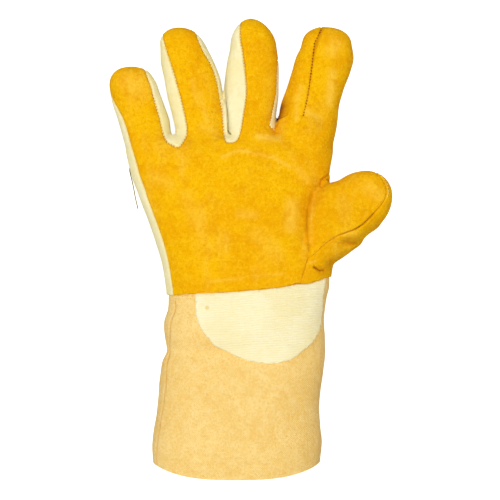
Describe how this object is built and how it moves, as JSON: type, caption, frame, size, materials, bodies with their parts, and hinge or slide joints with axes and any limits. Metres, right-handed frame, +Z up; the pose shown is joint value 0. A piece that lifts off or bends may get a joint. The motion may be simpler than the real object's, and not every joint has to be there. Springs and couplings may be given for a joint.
{
  "type": "foundry glove",
  "caption": "Right-hand foundry glove of split leather and heavy cream cloth, with a leather index finger, a wide gauntlet cuff and a patch at the wrist, lying on its back.",
  "frame": {"origin": "middle of the glove's outline, on the surface that it lies on", "axes": "+Y from the cuff to the fingertips, +X to the thumb's side, +Z up out of the palm"},
  "size_m": [0.2136, 0.345, 0.058],
  "materials": {
    "leather": "golden split suede with a short nap",
    "cream_cloth": "matte close woven cream cloth",
    "cuff_cloth": "matte tan felted cloth",
    "patch_cloth": "matte cream cloth with fine cross ribs"
  },
  "bodies": {
    "root": {"palm_leather": "leather", "index_side": "leather", "index_back": "leather", "thumb_front": "leather", "thumb_back": "leather", "little_ring_side": "cream_cloth", "ring_middle_side": "cream_cloth", "middle_side": "cream_cloth", "back_cloth": "cream_cloth", "cuff_front": "cuff_cloth", "cuff_back": "cuff_cloth", "wrist_patch": "patch_cloth"}
  },
  "joints": []
}
